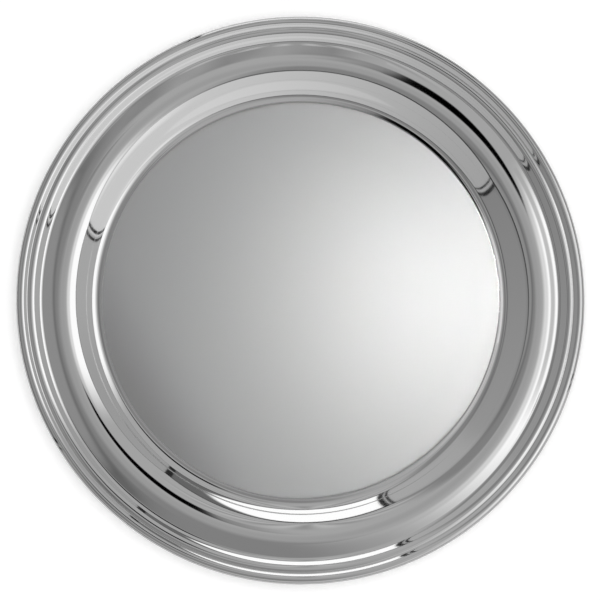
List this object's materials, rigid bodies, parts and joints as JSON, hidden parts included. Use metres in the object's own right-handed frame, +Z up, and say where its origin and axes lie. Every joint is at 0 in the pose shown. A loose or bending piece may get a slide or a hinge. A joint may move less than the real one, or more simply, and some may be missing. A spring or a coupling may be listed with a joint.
{
  "type": "offering plate",
  "caption": "Shallow round plate of polished metal with a flat floor, a rounded shoulder, a reeded border rolled over a wire at the edge, and a felt disc to stand on.",
  "frame": {"origin": "centre of the felt's lower face, on the surface that the plate stands on", "axes": "+Z up along the plate's axis of symmetry; +X and +Y are any two square directions across the plate"},
  "size_m": [0.305, 0.305, 0.0138],
  "materials": {
    "polished_sheet": "polished",
    "polished_border": "polished",
    "solder": "matte",
    "wire": "satin",
    "felt": "matte"
  },
  "bodies": {
    "root": {"plate_body": "polished_sheet", "border_moulding": "polished_border", "border_filling": "solder", "edge_wire": "wire", "base_felt": "felt"}
  },
  "joints": []
}
